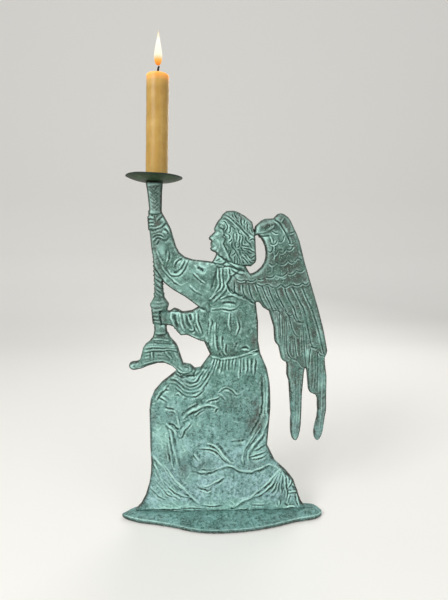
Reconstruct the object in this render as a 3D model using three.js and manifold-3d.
// Angel candelabra: a flat two-sided cast figure of an angel that holds a staff, on a leaf-shaped base,
// with a drip pan and one beeswax candle on top of the staff.
// Millimetres, +Z up, +X to the right of the front view, the front faces -Y.
// The origin lies on the resting face, under the middle of the base. The casting is symmetric about y = 0.

import * as THREE from "three";
import { mergeVertices } from "three/addons/utils/BufferGeometryUtils.js";
import Module from "manifold-3d";

const wasm = await Module();
wasm.setup();

// Driving dimensions

const seatGap = 0.3; // between a piece and what it rests on or passes through

const padThickness = 1.0; // rubber sheet under the base
const padInset = 4.5; // pad edge inside the base edge

const baseEdgeThickness = 2.8;
const baseCrown = 7.6; // thickness of the base where the figure stands on it
const baseSeatHalfWidth = 7.5;

const screwShank = 4.0; // diameter
const screwHead = 8.0; // diameter
const screwHeadHeight = 2.2;
const screwSlot = 1.1;
const screwSlotDepth = 1.0;
const screwGrip = 9.0; // length of shank inside the figure's foot
const screwPlaces = [-62, -8, 50]; // along X

const robeRelief = 8.0; // greatest half thickness of the robe
const torsoRelief = 6.8;
const armRelief = 6.0;
const headRelief = 8.0;
const noseRelief = 2.6;
const wingPlate = 3.0; // half thickness of the wing's web behind the feathers
const footRelief = 5.6; // half thickness of the staff's bell-shaped foot
const ridgeSink = 0.4; // how far a ridge's edges lie under the surface it stands on
const foldRise = 1.3; // how far a drapery fold stands above the cloth
const foldHalfWidth = 1.9;
const curlRise = 1.1;
const quillRise = 0.7;

const shoulderX = 5; // the feathers' half thickness falls from here
const shoulderRelief = 7.6;
const wingEdgeX = 100; // to here
const featherRelief = 3.4;
const covertLean = 0.2; // how far a covert leans for each millimetre of its length
const covertWidth = 10;
const covertLift = 0.75; // the coverts lie over the flight feathers
const covertStep = 0.1; // and each row over the one below it


const staffTopX = -67.9;
const staffTop = 351.3; // height of the face that carries the drip pan
const staffFootX = -63.8;
const staffFoot = 196;
const fluteLow = 241; // the open part of the staff is fluted between these heights
const fluteHigh = 282;
const fluteDepth = 1.0;
const fluteTurn = 27.4; // height in which a flute winds once round the staff
const fingerRise = 1.3;


const candleLean = 1.6; // degrees, towards +X
const panRadius = 28;
const panDepth = 3.7; // from the rim down to the inside of the floor
const panWall = 1.3;
const panFloorRadius = 10.5;
const panHole = 5.6; // diameter

const prickStud = 5.0; // diameter of the part that goes down into the staff
const prickStudLength = 12;
const prickFlangeRadius = 7;
const prickFlangeThickness = 1.4;
const prickRadius = 2.3;
const prickLength = 24;

const candleRadius = 11;
const candleLength = 96.8;
const candleSetOver = 2.4; // the candle stands this far off the pan's middle
const candleTopDish = 1.4; // depth of the melt pool
const wickRadius = 1.05;
const wickAbove = 8.9; // above the rim of the candle
const wickOverPrick = 4; // the wick begins this far above the spike
const flameLength = 31.5;
const flameRadius = 3.85;

// Colours

const verdigris = 0x6f9c8b;
const darkBronze = 0x44614f;
const rubberBlack = 0x1c1c1b;
const steelGrey = 0x8f9294;
const darkSteel = 0x5a5f58;
const beeswax = 0xb98c3c;
const charredCotton = 0x1a1613;
const flameYellow = 0xffd58a;

// Solids

// The geometry as a solid with its faces turned outwards.
function solidOf(geometry) {
  const bare = geometry.clone();
  bare.deleteAttribute("normal");
  bare.deleteAttribute("uv");
  const merged = mergeVertices(bare, 1e-4);
  const triVerts = new Uint32Array(merged.index.array);
  const vertProperties = merged.attributes.position.array;
  const made = new wasm.Manifold(new wasm.Mesh({ numProp: 3, vertProperties, triVerts }));
  if (made.volume() > 0) return made;
  for (let i = 0; i < triVerts.length; i += 3) {
    const first = triVerts[i];
    triVerts[i] = triVerts[i + 1];
    triVerts[i + 1] = first;
  }
  return new wasm.Manifold(new wasm.Mesh({ numProp: 3, vertProperties, triVerts }));
}

function geometryOf(solid) {
  const mesh = solid.getMesh();
  const positions = new Float32Array(mesh.numVert * 3);
  for (let i = 0; i < mesh.numVert; i += 1) {
    positions.set(mesh.vertProperties.subarray(i * mesh.numProp, i * mesh.numProp + 3), i * 3);
  }
  const geometry = new THREE.BufferGeometry();
  geometry.setAttribute("position", new THREE.BufferAttribute(positions, 3));
  geometry.setIndex(new THREE.BufferAttribute(mesh.triVerts, 1));
  geometry.computeVertexNormals();
  return geometry;
}

const joined = (solids) => solids.reduce((sum, solid) => sum.add(solid));
const cutBy = (solid, cutters) => cutters.reduce((rest, cutter) => rest.subtract(cutter), solid);

// A closed skin over rings of equally many points, closed at each end by a fan on the ring's middle.
function skin(rings) {
  const sides = rings[0].length;
  const corners = rings.flat();
  const indices = [];
  for (let r = 0; r + 1 < rings.length; r += 1) {
    for (let s = 0; s < sides; s += 1) {
      const a = r * sides + s;
      const b = r * sides + ((s + 1) % sides);
      indices.push(a, b, a + sides, b, b + sides, a + sides);
    }
  }
  [0, rings.length - 1].forEach((r) => {
    const middle = new THREE.Vector3();
    rings[r].forEach((point) => middle.add(point));
    corners.push(middle.divideScalar(sides));
    for (let s = 0; s < sides; s += 1) {
      const edge = [r * sides + s, r * sides + ((s + 1) % sides)];
      if (r === 0) edge.reverse();
      indices.push(corners.length - 1, edge[0], edge[1]);
    }
  });
  const geometry = new THREE.BufferGeometry();
  const numbers = corners.flatMap((point) => point.toArray());
  geometry.setAttribute("position", new THREE.Float32BufferAttribute(numbers, 3));
  geometry.setIndex(indices);
  return geometry;
}

const signedPower = (value, power) => Math.sign(value) * Math.abs(value) ** power;

// An oval ring across the figure's plane, from one edge point [x, z] to another, `relief` thick each way.
function ovalRing([x1, z1], [x2, z2], relief, sides, fullness) {
  return Array.from({ length: sides }, (_, i) => {
    const angle = (2 * Math.PI * i) / sides;
    const along = signedPower(Math.cos(angle), fullness);
    return new THREE.Vector3(
      (x1 + x2) / 2 + (along * (x2 - x1)) / 2,
      relief * signedPower(Math.sin(angle), fullness),
      (z1 + z2) / 2 + (along * (z2 - z1)) / 2,
    );
  });
}

// A rounded form of the casting: rows of [edge point, other edge point, half thickness].
function form(rows, sides = 10, fullness = 0.8) {
  return solidOf(skin(rows.map(([a, b, relief]) => ovalRing(a, b, relief, sides, fullness))));
}

// A flat web of the casting with the given outline, `relief` thick each way.
function web(outline, relief) {
  const shape = new THREE.Shape(outline.map(([x, z]) => new THREE.Vector2(x, z)));
  const geometry = new THREE.ExtrudeGeometry(shape, { depth: 2 * relief, bevelEnabled: false });
  geometry.rotateX(Math.PI / 2);
  geometry.translate(0, relief, 0);
  return solidOf(geometry);
}

// A raised ridge along a smooth line in the figure's plane, on both of its faces.
// surface(x, z) is the half thickness it stands on, halfWidth(t) and rise(t) its own size at t from 0 to 1.
function ridge(points, halfWidth, surface, rise, steps) {
  const line = new THREE.SplineCurve(points.map(([x, z]) => new THREE.Vector2(x, z)));
  const rings = Array.from({ length: steps + 1 }, (_, i) => {
    const t = i / steps;
    const at = line.getPoint(t);
    const way = line.getTangent(t);
    const edge = surface(at.x, at.y) - ridgeSink;
    const crest = edge + ridgeSink + rise(t);
    const section = [[1, edge], [0, crest], [-1, edge], [-1, -edge], [0, -crest], [1, -edge]];
    return section.map(([across, y]) => {
      const out = across * halfWidth(t);
      return new THREE.Vector3(at.x - way.y * out, y, at.y + way.x * out);
    });
  });
  return solidOf(skin(rings));
}

function lathe(profile, segments) {
  const geometry = new THREE.LatheGeometry(profile.map(([r, z]) => new THREE.Vector2(r, z)), segments);
  geometry.rotateX(Math.PI / 2);
  return geometry;
}

// Figure: the robe, the torso and the arms

// Height, left edge, right edge and half thickness as a share of the robe's relief.
const robeRows = [
  [9.2, -94, 88.5, 0.66],
  [16, -87.8, 84, 0.68],
  [25, -83, 80.6, 0.73],
  [40, -78.4, 75.6, 0.82],
  [51.5, -76.6, 66.6, 0.88],
  [62, -76, 55.2, 0.92],
  [80, -76.7, 46.5, 0.97],
  [120, -76.9, 49.6, 1],
  [131, -75.4, 49.4, 0.98],
  [140, -71.6, 49, 0.94],
  [148.8, -64, 48.2, 0.89],
  [161.3, -48.3, 45.7, 0.83],
  [164.2, -23.6, 44.8, 0.78],
  [177.8, -13.9, 38.8, 0.7],
];

const torsoRows = [
  [175.5, -15.4, 40, 0.8],
  [178, -13.7, 38.6, 0.76],
  [192, -20, 36, 0.95],
  [212, -23, 35.8, 1],
  [242, -22, 32, 1],
  [261, -14, 27.2, 0.9],
  [274.5, -10.3, 19, 0.72],
];

// Upper edge, lower edge and share of the relief, from the shoulder out to the elbow and up to the hand.
const raisedArmRows = [
  [[-4, 272], [-14, 222], 1.05],
  [[-16.3, 273.9], [-25.4, 227.6], 1.05],
  [[-30, 275.3], [-38.8, 237.7], 1],
  [[-38.5, 278], [-50.5, 244.6], 1],
  [[-44, 282.5], [-59.9, 252], 1],
  [[-47, 288], [-68.6, 266], 1],
  [[-49.6, 296.5], [-71.7, 285], 0.98],
  [[-52, 305.5], [-73.1, 301], 0.96],
  [[-56, 313.5], [-73.9, 311], 0.98],
  [[-61.8, 323.6], [-74.3, 323.6], 1.08],
];

const loweredArmRows = [
  [[-15, 230], [-14, 190], 0.95],
  [[-25.4, 227.5], [-23.9, 192.4], 0.93],
  [[-31.8, 223.9], [-30.5, 195.4], 0.9],
  [[-36.9, 223], [-37.2, 198.5], 0.88],
  [[-41.5, 222.7], [-43.5, 198], 0.86],
  [[-45.5, 225], [-46.8, 201.7], 0.84],
  [[-49.8, 226.5], [-50.9, 207.2], 0.82],
  [[-54.2, 223.5], [-54.5, 208.5], 0.8],
  [[-65, 224], [-64, 209], 0.8],
];

function levelForm(rows, relief) {
  return form(rows.map(([z, left, right, share]) => [[left, z], [right, z], relief * share]), 10, 0.65);
}

function armForm(rows) {
  return form(rows.map(([upper, lower, share]) => [upper, lower, armRelief * share]), 8, 0.42);
}

// How thick a level form stands at x, z: the surface that its folds rise from.
function surfaceOf(rows, relief) {
  return (x, z) => {
    const above = Math.max(1, rows.findIndex(([height]) => height >= z));
    const [low, high] = [rows[above - 1], rows[above]];
    const mix = THREE.MathUtils.clamp((z - low[0]) / (high[0] - low[0]), 0, 1);
    const [left, right, share] = [1, 2, 3].map((k) => THREE.MathUtils.lerp(low[k], high[k], mix));
    const across = THREE.MathUtils.clamp(Math.abs((2 * x - left - right) / (right - left)), 0, 0.999);
    return relief * share * (1 - across ** 2.5) ** 0.4;
  };
}

const robeSurface = surfaceOf(robeRows, robeRelief);
const torsoSurface = surfaceOf(torsoRows, torsoRelief);

// Figure: the head, seen in profile and tilted back

const hairline = [-3.6, 315.4];
const headTilt = THREE.MathUtils.degToRad(14);

// A point `down` the face from the hairline and `out` in front of the hairline.
function onHead(down, out) {
  return [
    hairline[0] - down * Math.sin(headTilt) - out * Math.cos(headTilt),
    hairline[1] - down * Math.cos(headTilt) + out * Math.sin(headTilt),
  ];
}

// Down the face, the front of the skull, the back of the hair and the share of the relief.
const skullRows = [
  [-11.3, -11.5, -15, 0.4],
  [-9.4, -5, -23, 0.72],
  [-5, -1.6, -32.4, 0.92],
  [10, 2.4, -39.5, 1],
  [22, 0.6, -43, 1],
  [29.5, 0.4, -45.6, 0.96],
  [33, -3, -45.5, 0.9],
  [38.2, -13, -42, 0.7],
  [39.2, -17, -36, 0.55],
];

// The face in profile keeps plain thirds: hairline to brow, brow to nose, nose to chin.
const profile = [
  [0, 0.2], [4, 1.9], [8.5, 2.9], [11.2, 3.1], [13.2, 1.8], [16, 3.6], [18.8, 5.4], [20.9, 6.2], [22.3, 5.2],
  [22.8, 3.2], [24.1, 2.7], [25.3, 3.6], [26.2, 2.3], [27.2, 3.1], [28.7, 1.5], [30.6, 2.4], [32.2, 1.2],
  [33.1, -1.8], [33, -7], [0, -7],
];

const headForms = () => [
  form(skullRows.map(([down, front, back, share]) => {
    return [onHead(down, front), onHead(down, back), headRelief * share];
  }), 10, 0.42),
  web(profile.map(([down, out]) => onHead(down, out)), noseRelief),
];

const skullSurface = surfaceOf(skullRows, headRelief);

// How thick the head stands at x, z, found from how far down and out on the head that point lies.
function headSurface(x, z) {
  const back = hairline[0] - x;
  const drop = hairline[1] - z;
  const down = back * Math.sin(headTilt) + drop * Math.cos(headTilt);
  const out = back * Math.cos(headTilt) - drop * Math.sin(headTilt);
  return skullSurface(out, down);
}

const neckForm = () => form([
  [[-3, 288], [20, 288], 5.6],
  [[-6.8, 282], [20.5, 282], 5.5],
  [[-8.6, 277.5], [19.5, 276], 5.4],
  [[-11.5, 272.5], [20.4, 269], 5.6],
  [[-13, 266], [21.4, 264.6], 6],
], 8);

// The band that runs over the hair, and the wavy locks below it.
function hairRidges() {
  const band = [[1, 317], [8, 312.5], [18, 304.5], [27, 297.5]];
  const locks = [0, 1, 2, 3].map((n) => {
    const x = 7 + 6 * n;
    const top = 306 - 4.6 * n;
    const wave = (k) => (k % 2 ? 1.4 : -1.4);
    return [0, 1, 2, 3].map((k) => [x + wave(k) + 0.3 * k, top - (k * (top - 275)) / 3]);
  });
  return [
    ridge(band, () => 1.6, headSurface, () => curlRise, 2),
    ...locks.map((points) => ridge(points, (t) => 2.3 - 0.9 * t, headSurface, () => curlRise, 3)),
  ];
}

// Figure: the wing

const wingOutline = [
  [32, 308.6], [38, 314], [41.5, 315.7], [50, 316.1], [54.4, 320.5], [57.4, 321.2], [60.4, 320.5],
  [64.3, 317.9], [67.5, 313.8], [74.4, 299.7], [77.2, 292.3], [82.5, 272], [97.8, 223.4], [103.5, 202.5],
  [107.8, 181.5], [107.2, 177.8], [105.5, 174.2], [105.4, 170.8], [107, 154.8], [108, 130], [107.8, 118],
  [105.3, 96], [103.7, 89.7], [101.8, 85.9], [99.8, 84.7], [97.9, 85.3], [96.3, 87.8], [95.7, 93],
  [96.2, 98.3], [98.8, 109.8], [99.2, 117], [98.6, 129.5], [97.5, 133], [95.6, 134.8], [92.4, 135.9],
  [90, 137.7], [88.9, 140.9], [87.2, 158.5], [86, 162.6], [84.9, 163.3], [84, 159], [82.3, 136],
  [81.8, 104], [81, 95.5], [79.4, 88.6], [77.9, 85.6], [76.2, 84.6], [74.1, 85.5], [72.4, 87.6],
  [71.2, 92.5], [70.7, 100], [70.6, 108.5], [71.6, 116], [70.9, 141], [66, 155.5], [66, 165.8],
  [65.1, 169.3], [61.8, 171], [59.9, 173.2], [57.1, 186], [53.6, 190.2], [52.7, 193.3], [51.8, 206.5],
  [49.4, 217.4], [48, 221], [46.1, 223.3], [40.8, 226.2], [37, 231.5], [35, 232.2], [30, 231.4],
  [19, 238.2], [11, 241.3], [6, 245.5], [2.9, 250.4], [8, 258], [20.8, 268.4], [21.8, 265.6],
  [24.2, 262.6], [27, 261.1], [30, 261.5], [34, 263.6], [38.6, 267.8], [41.4, 272.4], [42.8, 277.6],
  [42.9, 282.6], [42, 288], [40.2, 292.6], [37.4, 297], [34.8, 299.6], [30, 298.4],
];

// The relief of the feathers falls from the shoulder out to the wing's edge.
function featherSurface(x) {
  const outwards = THREE.MathUtils.clamp((x - shoulderX) / (wingEdgeX - shoulderX), 0, 1);
  return THREE.MathUtils.lerp(shoulderRelief, featherRelief, outwards);
}

// A feather keeps its width from the root and rounds off over the last `share` of its length.
function featherTaper(halfWidth, share) {
  return (t) => halfWidth * Math.sqrt(1 - 0.94 * THREE.MathUtils.clamp((t - 1 + share) / share, 0, 1) ** 2);
}

// A flight feather from root to tip with a raised quill, bent sideways by `bend` in its middle.
function feather(root, tip, width, bend, lift, steps) {
  const middle = [(root[0] + tip[0]) / 2 + bend, (root[1] + tip[1]) / 2];
  const surface = (x) => featherSurface(x) + lift;
  return ridge([root, middle, tip], featherTaper(width / 2, 0.4), surface, () => quillRise, steps);
}

function flightFeathers() {
  const upper = [
    [[4, 252], [9.5, 242], 7],
    [[11, 252], [17.5, 238.8], 7.5],
    [[18, 252], [26.5, 234], 8],
    [[25, 251.5], [33.5, 232.5], 8],
    [[32, 251], [45, 224.6], 8.5],
    [[39, 249.5], [51, 221.5], 8],
    [[45, 248.5], [58.5, 219.5], 8],
    [[52, 247.5], [68, 216], 9],
    [[60, 247], [79, 209.5], 9.5],
    [[68, 247], [92.5, 183.5], 10],
    [[76.5, 249], [102.5, 177.5], 10],
  ].map(([root, tip, width]) => feather(root, tip, width, 1.5, 0, 2));
  const lower = [
    [[49.5, 225], [57, 190], 6.5],
    [[55.5, 224], [63, 172], 8],
    [[61, 219], [71, 172], 8.5],
    [[70, 215], [76, 195], 9],
    [[76, 212], [82, 165], 9.5],
  ].map(([root, tip, width]) => feather(root, tip, width, 1.5, -0.5, 2));
  const primaries = [
    [[69, 186], [76.3, 86], 9.4, 1.5],
    [[77, 176], [78.2, 112], 7, 1],
    [[92, 184], [93.2, 137], 8, 0.5],
    [[99, 184], [100, 86], 8.4, 5.5],
  ].map(([root, tip, width, bend]) => feather(root, tip, width, bend, -0.3, 3));
  return [...upper, ...lower, ...primaries];
}

// Short covert feathers in scalloped rows, each [first tip, last tip, how many, length].
function covertFeathers() {
  const rows = [
    [[27, 251.5], [38, 251], 2, 9],
    [[49.4, 250.6], [81, 250], 4, 18],
    [[51, 264.5], [78, 264.5], 4, 15],
    [[52, 277], [74, 278.5], 3, 16],
    [[50.5, 290], [69, 292.5], 3, 11],
  ];
  return rows.flatMap(([first, last, count, long], row) => Array.from({ length: count }, (_, i) => {
    const x = THREE.MathUtils.lerp(first[0], last[0], i / (count - 1));
    const z = THREE.MathUtils.lerp(first[1], last[1], i / (count - 1));
    const surface = () => featherSurface(x) + covertLift + covertStep * row;
    const line = [[x - covertLean * long, z + long], [x, z]];
    return ridge(line, featherTaper(covertWidth / 2, 0.5), surface, () => quillRise, 2);
  }));
}

// The two rolled lobes at the top of the wings, the near wing in front of the far one.
const wingLobes = () => [
  form([
    [[33, 309], [36, 297], 5],
    [[38, 313.8], [41, 298], 6.4],
    [[44.5, 316], [45, 300], 6.8],
    [[53, 312], [51, 300], 6.2],
  ], 8, 0.45),
  form([
    [[51.5, 317.5], [56, 308], 4.2],
    [[57.4, 321], [59, 306], 5.2],
    [[64.3, 317.7], [59, 300], 5.2],
    [[71, 306.8], [61, 296], 4.8],
  ], 8, 0.45),
];

// Figure: the staff with its knop and its bell-shaped foot

// Radius and height
const staffProfile = [
  [8.6, 196], [7.2, 199.5], [6.3, 204.5], [6.5, 211], [8, 225], [9.5, 229], [9.5, 230.8], [7.3, 234],
  [5.3, 237.5], [5.3, fluteLow - 1],
];
const upperStaffProfile = [
  [5.4, fluteHigh + 1], [5.8, 300], [6.2, 325], [7.1, 340], [7.9, 347], [8.5, staffTop], [8.5, staffTop + 1],
];

function leaning(geometry, degrees, x, z) {
  geometry.rotateY(THREE.MathUtils.degToRad(degrees));
  geometry.translate(x, 0, z);
  return geometry;
}

const staffLean = THREE.MathUtils.radToDeg(Math.atan2(staffTopX - staffFootX, staffTop - staffFoot));
const staffX = (z) => THREE.MathUtils.mapLinear(z, staffFoot, staffTop, staffFootX, staffTopX);

// The staff is round below and above its open part, where flutes wind round it.
function staffForm() {
  const sides = 12;
  const steps = 13;
  const fluted = Array.from({ length: steps + 1 }, (_, i) => {
    const z = THREE.MathUtils.lerp(fluteLow, fluteHigh, i / steps);
    return [5.6, z, i % steps ? fluteDepth : 0];
  });
  const rings = [...staffProfile, ...fluted, ...upperStaffProfile].map(([radius, z, depth = 0]) => {
    const wind = (-2 * Math.PI * (THREE.MathUtils.clamp(z, fluteLow, fluteHigh) - fluteLow)) / fluteTurn;
    return Array.from({ length: sides }, (_, k) => {
      const angle = (2 * Math.PI * k) / sides + wind;
      const reach = radius - depth * (k % 2);
      return new THREE.Vector3(reach * Math.cos(angle), reach * Math.sin(angle), z - staffTop);
    });
  });
  return solidOf(leaning(skin(rings), staffLean, staffTopX, staffTop));
}

const bellOutline = [
  [-56, 200], [-54.6, 196.6], [-48.4, 189.5], [-46.5, 185.5], [-41.3, 168.9], [-33.8, 167.6],
  [-28, 162.5], [-30, 156], [-44, 156], [-49.5, 163.4], [-52.4, 166], [-60, 169.4], [-64, 169.9],
  [-68.3, 169.5], [-73.5, 168.1], [-83.5, 163.8], [-91.5, 162.1], [-94.3, 162.6], [-96.3, 164.7],
  [-96.8, 167.3], [-95.8, 169.6], [-93, 170.8], [-89.5, 171], [-86.2, 172.2], [-84.6, 175.3],
  [-82.1, 185.2], [-79.7, 189.1], [-75.2, 192.5], [-71.6, 197], [-70.4, 200],
];

function bellForm() {
  const body = form([
    [[-70.2, 201], [-56.2, 201], 6.2],
    [[-72, 196.6], [-54.6, 196.6], 6],
    [[-75.4, 192.5], [-51.2, 192.5], footRelief],
    [[-79.9, 188.9], [-48, 188.9], footRelief],
    [[-82.3, 184.5], [-46.3, 184.5], footRelief],
    [[-83.9, 178.5], [-44.8, 178.5], footRelief],
    [[-85.3, 173.2], [-43.3, 173.2], footRelief * 0.95],
    [[-84, 169.5], [-44, 169.5], footRelief * 0.8],
  ], 8, 0.45);
  const hem = ridge(
    [[-93.5, 166.6], [-86, 166.5], [-76, 169.2], [-64, 172.5], [-53, 170], [-45, 163.5], [-39, 164]],
    () => 2.2, () => footRelief - 1.4, () => 1.2, 6,
  );
  const bands = [185, 180.8].map((z) => ridge(
    [[staffX(z) - 17, z - 1.2], [staffX(z), z + 1.2], [staffX(z) + 17, z - 1.2]],
    () => 1.2, () => footRelief - 0.3, () => 1.1, 2,
  ));
  return joined([web(bellOutline, 3.2), body, hem, ...bands]);
}

// Fingers laid round the staff, one above the other.
function fingers(lowest, pitch, leftEdge, length) {
  return Array.from({ length: 4 }, (_, i) => {
    const z = lowest + pitch * i;
    const x = leftEdge(i);
    const line = [[x, z], [x + length / 2, z + 0.8], [x + length, z + 0.2]];
    return ridge(line, () => pitch * 0.46, () => armRelief - 0.8, () => fingerRise, 1);
  });
}

// Folds: the drapery's main ridges, each line given by the points that it runs through

function folds() {
  const onArm = () => armRelief * 0.95;
  const swell = (t) => foldHalfWidth * (0.5 + 0.5 * Math.sin(Math.PI * t));
  const rise = (t) => foldRise * (0.35 + 0.65 * Math.sin(Math.PI * t));
  const laid = (lines, surface) => lines.map((points) => {
    return ridge(points, swell, surface, rise, points.length - 1);
  });
  const kneeSwags = [
    [[-41, 155], [-32, 151.5], [-24, 159], [-13, 174]],
    [[-54, 154.5], [-43, 150], [-33, 144.5], [-24, 148.5], [-11, 168]],
    [[-58, 150], [-46, 147], [-34, 141], [-23, 144.5], [-13, 158]],
    [[-50, 146], [-41, 139.5], [-31, 137], [-20, 145]],
  ];
  const lapFolds = [
    [[-7, 139], [3, 144.5], [13, 138.5]],
    [[-41, 112], [-34, 120.5], [-20, 125.5], [-5, 124]],
    [[-18, 130], [-8, 134], [0, 139]],
    [[-7, 136], [-2, 137], [3, 131.5]],
    [[-57, 120.5], [-49, 118.5], [-45.5, 101]],
    [[-58, 105], [-45, 92], [-35, 106]],
    [[-54, 97], [-51, 74], [-47, 58]],
  ];
  const backFolds = [
    [[43, 160], [45.5, 130], [45.5, 105], [37, 90]],
    [[44, 97], [32, 83], [26, 64]],
  ];
  const hemFolds = [
    [[-75, 72], [-60, 54], [-40, 32], [-24, 17]],
    [[-64, 63], [-46, 40], [-35, 29]],
    [[-70, 52], [-52, 33], [-34, 24]],
    [[-22, 81], [-4, 74.5], [10, 64]],
    [[-30, 56], [-14, 54.5], [3, 60], [24, 54], [56, 57]],
    [[-28, 40], [-18, 37], [0, 48]],
    [[4, 16], [25, 23], [43, 33], [60, 53]],
    [[67, 22], [64, 48]],
    [[68, 29], [78, 28], [70, 46]],
  ];
  const torsoFolds = [
    [[-6, 268], [-5.5, 250], [-12, 238], [-20, 234]],
    [[4, 268], [4, 252], [0, 243], [-12, 232]],
    [[-13, 226], [0, 227.5], [15, 229]],
    [[-9, 213], [-8.5, 190]],
    [[-2, 267], [-1.5, 249], [-14, 235]],
    [[-25, 219], [-24, 206], [-20, 193]],
    [[2, 198], [1, 184]],
  ];
  const belt = [[-12, 176.5], [6, 175], [36, 182.5]];
  const sleeveFolds = [
    [[-71, 297], [-64, 300.5], [-56, 297]],
    [[-55, 266], [-49, 259.8], [-41, 264], [-36, 275]],
    [[-62, 270], [-52, 257], [-42, 249]],
    [[-30, 262], [-18, 252]],
    [[-52, 220], [-49, 205]],
    [[-44, 221], [-40, 204]],
    [[-27, 220], [-24, 201]],
  ];
  const waistPleats = Array.from({ length: 7 }, (_, i) => {
    const x = -7 + 6.4 * i;
    return [[x, 174], [x - 1, 160]];
  });
  return [
    ...laid([...kneeSwags, ...lapFolds, ...backFolds, ...hemFolds, ...waistPleats], robeSurface),
    ...laid([...torsoFolds, belt], torsoSurface),
    ...laid(sleeveFolds, onArm),
  ];
}

// Heights of the stack: pad, base, figure

const baseUnder = padThickness + seatGap;
const baseRim = baseUnder + baseEdgeThickness;
const baseTop = baseUnder + baseCrown;
const figureUnder = baseTop + seatGap;

// The base: half widths along its length, pointed at the left and blunt at the right

const baseHalfWidths = [
  [-108, 0.4], [-105.5, 3.6], [-98.3, 8.5], [-87, 13], [-71, 16.6], [-55, 21], [-44.7, 24.7], [-34.4, 28.6],
  [-19, 31.8], [-4, 32.6], [16, 31.5], [31.5, 29.1], [47, 25.6], [58, 22.2], [69, 18.2], [80, 15],
  [90, 12.9], [97.5, 10.8], [103, 7], [105.8, 3.2], [106.4, 0.4],
];

const baseHalfWidth = new THREE.SplineCurve(baseHalfWidths.map(([x, w]) => new THREE.Vector2(x, w)));

function basePlate() {
  const stations = 34;
  const rings = Array.from({ length: stations + 1 }, (_, i) => {
    const { x, y } = baseHalfWidth.getPoint(i / stations);
    const width = Math.max(0.4, y);
    const fade = THREE.MathUtils.smoothstep(width, 2, 12);
    const seat = Math.min(baseSeatHalfWidth, width * 0.5);
    const top = THREE.MathUtils.lerp(baseRim, baseTop, fade);
    const bevel = Math.min(0.8, width * 0.2);
    const half = [
      [width - bevel, baseUnder], [width, baseUnder + 0.8], [width, baseRim - 0.6], [width - bevel, baseRim],
      [(width + seat) / 2, THREE.MathUtils.lerp(baseRim, top, 0.62)], [seat, top],
    ];
    const mirrored = half.slice().reverse().map(([y2, z2]) => [-y2, z2]);
    return [...half, ...mirrored].map(([y2, z2]) => new THREE.Vector3(x, y2, z2));
  });
  const bores = screwPlaces.flatMap((x) => [
    drilled(x, screwHead / 2 + seatGap, baseUnder - 1, baseUnder + seatGap + screwHeadHeight + seatGap),
    drilled(x, screwShank / 2 + seatGap, baseUnder - 1, baseTop + 1),
  ]);
  return cutBy(solidOf(skin(rings)), bores);
}

// A round cutter on an upright axis at x.
function drilled(x, radius, low, high) {
  const bore = lathe([[0, low], [radius, low], [radius, high], [0, high]], 20);
  return solidOf(bore.translate(x, 0, 0));
}

function basePad() {
  const inset = Array.from({ length: 41 }, (_, i) => baseHalfWidth.getPoint(i / 40))
    .filter(({ y }) => y > padInset + 1)
    .map(({ x, y }) => [x, y - padInset]);
  const outline = [...inset, ...inset.slice().reverse().map(([x, y]) => [x, -y])];
  const shape = new THREE.Shape(outline.map(([x, y]) => new THREE.Vector2(x, y)));
  return solidOf(new THREE.ExtrudeGeometry(shape, { depth: padThickness, bevelEnabled: false }));
}

// A slotted screw driven up from below, its head sunk in the base.
function baseScrew() {
  const head = screwHead / 2;
  const shank = screwShank / 2;
  const low = baseUnder + seatGap;
  const neck = low + screwHeadHeight;
  const tip = figureUnder + screwGrip;
  const body = lathe([
    [0, low], [head - 0.4, low], [head, low + 0.4], [head, neck], [shank, neck], [shank, tip - 1],
    [shank - 0.8, tip], [0, tip],
  ], 16);
  const slot = new THREE.BoxGeometry(screwSlot, screwHead + 2, 2 * screwSlotDepth).translate(0, 0, low);
  return cutBy(solidOf(body), [solidOf(slot)]);
}

function angelFigure() {
  const body = joined([
    levelForm(robeRows, robeRelief),
    levelForm(torsoRows, torsoRelief),
    armForm(raisedArmRows),
    armForm(loweredArmRows),
    ...headForms(),
    neckForm(),
    web(wingOutline, wingPlate),
    ...wingLobes(),
    staffForm(),
    bellForm(),
    ...fingers(305.6, 3.5, (i) => -74.6 - 0.2 * i, 11),
    ...fingers(211.6, 3.7, (i) => -72 - 0.3 * i, 12),
    ...flightFeathers(),
    ...covertFeathers(),
    ...hairRidges(),
    ...folds(),
  ]);
  const below = new THREE.BoxGeometry(400, 100, 40).translate(0, 0, figureUnder - 20);
  const overStaff = new THREE.BoxGeometry(40, 40, 20).translate(0, 0, 10);
  const gapsBetween = screwPlaces.map((x) => drilled(
    x, screwShank / 2 + seatGap, figureUnder - 1, figureUnder + screwGrip + seatGap,
  ));
  const studBore = lathe([
    [0, -prickStudLength - 1], [panHole / 2, -prickStudLength - 1], [panHole / 2, 2], [0, 2],
  ], 20);
  return cutBy(body, [
    solidOf(below),
    solidOf(leaning(overStaff, candleLean, staffTopX, staffTop)),
    ...gapsBetween,
    solidOf(leaning(studBore, candleLean, staffTopX, staffTop)),
  ]);
}

// Top of the staff: everything here is built on one leaning axis, with z = 0 at the pan's underside

const flangeUnder = panWall + seatGap;
const flangeTop = flangeUnder + prickFlangeThickness;
const prickTip = flangeTop + prickLength;
const prickShoulder = flangeTop + prickLength * 0.6; // the spike tapers to its point from here
const candleUnder = flangeTop + seatGap;
const candleTop = candleUnder + candleLength;
const wickFoot = prickTip + wickOverPrick;
const wickTip = candleTop + wickAbove;
const flameFoot = wickTip + seatGap;

function dripPan() {
  const shares = [0, 0.3, 0.55, 0.8, 1];
  const bowl = (share, wall) => [
    THREE.MathUtils.lerp(panFloorRadius, panRadius, share),
    wall + panDepth * share ** 2,
  ];
  const under = shares.map((share) => bowl(share, 0));
  const inside = shares.map((share) => bowl(share, panWall)).reverse();
  const hole = panHole / 2;
  return solidOf(lathe([[hole, 0], ...under, ...inside, [hole, panWall], [hole, 0]], 40));
}

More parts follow.
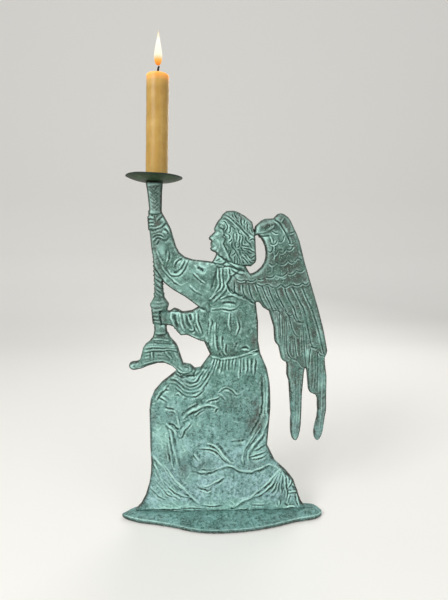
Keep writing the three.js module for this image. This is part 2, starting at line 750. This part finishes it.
function pricket() {
  const stud = prickStud / 2;
  return solidOf(lathe([
    [0, -prickStudLength], [stud - 0.6, -prickStudLength], [stud, 0.8 - prickStudLength],
    [stud, flangeUnder], [prickFlangeRadius, flangeUnder], [prickFlangeRadius, flangeTop],
    [prickRadius, flangeTop], [prickRadius * 0.8, prickShoulder], [0, prickTip],
  ], 20));
}

// The candle has a shallow melt pool, a hole for the spike below and a narrow one for the wick above.
function candle() {
  const pool = candleTop - candleTopDish;
  const body = lathe([
    [0, candleUnder], [candleRadius - 0.6, candleUnder], [candleRadius, candleUnder + 0.6],
    [candleRadius, candleTop - 0.9], [candleRadius - 0.3, candleTop - 0.3], [candleRadius - 0.9, candleTop],
    [candleRadius * 0.76, candleTop - 0.5], [candleRadius * 0.45, pool], [0, pool],
  ], 40);
  const prickHole = lathe([
    [0, candleUnder - 1], [prickRadius + seatGap, candleUnder - 1], [prickRadius + seatGap, prickShoulder],
    [0.8, prickTip + 2 * seatGap], [0, prickTip + 2 * seatGap],
  ], 20).translate(-candleSetOver, 0, 0);
  const wickHole = lathe([
    [0, wickFoot - seatGap], [wickRadius + seatGap, wickFoot - seatGap],
    [wickRadius + seatGap, candleTop + 2], [0, candleTop + 2],
  ], 12);
  return cutBy(solidOf(body), [solidOf(prickHole), solidOf(wickHole)]);
}

function wick() {
  return solidOf(lathe([
    [0, wickFoot], [wickRadius, wickFoot], [wickRadius, wickTip - 1], [wickRadius * 0.6, wickTip],
    [0, wickTip],
  ], 12));
}

function flame() {
  // Share of the height and of the greatest radius
  const shares = [
    [0.02, 0.42], [0.08, 0.74], [0.16, 0.95], [0.24, 1], [0.36, 0.93], [0.5, 0.75], [0.66, 0.5],
    [0.82, 0.25], [0.94, 0.08],
  ];
  const side = shares.map(([up, out]) => [flameRadius * out, flameFoot + flameLength * up]);
  return solidOf(lathe([[0, flameFoot], ...side, [0, flameFoot + flameLength]], 20));
}

// Scene graph

function piece(name, solid, color, roughness, metalness) {
  const material = new THREE.MeshStandardMaterial({ color, roughness, metalness });
  const mesh = new THREE.Mesh(geometryOf(solid), material);
  mesh.name = name;
  return mesh;
}

const angelCandelabra = new THREE.Group();
angelCandelabra.add(piece("base_pad", basePad(), rubberBlack, 0.9, 0));
angelCandelabra.add(piece("base_plate", basePlate(), verdigris, 0.6, 0.35));
angelCandelabra.add(piece("angel_figure", angelFigure(), verdigris, 0.6, 0.35));

screwPlaces.forEach((x, i) => {
  const screw = piece(`base_screw_${i + 1}`, baseScrew(), steelGrey, 0.4, 1);
  screw.position.x = x;
  angelCandelabra.add(screw);
});

const staffHead = new THREE.Group();
staffHead.position.set(staffTopX, 0, staffTop + seatGap);
staffHead.rotation.y = THREE.MathUtils.degToRad(candleLean);
staffHead.add(piece("drip_pan", dripPan(), darkBronze, 0.6, 0.35));
staffHead.add(piece("pricket", pricket(), darkSteel, 0.5, 0.8));

const candleGroup = new THREE.Group();
candleGroup.position.x = candleSetOver;
candleGroup.add(piece("candle", candle(), beeswax, 0.5, 0));
candleGroup.add(piece("wick", wick(), charredCotton, 0.9, 0));
const flamePiece = piece("flame", flame(), flameYellow, 0.5, 0);
flamePiece.material.emissive.set(flameYellow);
candleGroup.add(flamePiece);

staffHead.add(candleGroup);
angelCandelabra.add(staffHead);

export default angelCandelabra;
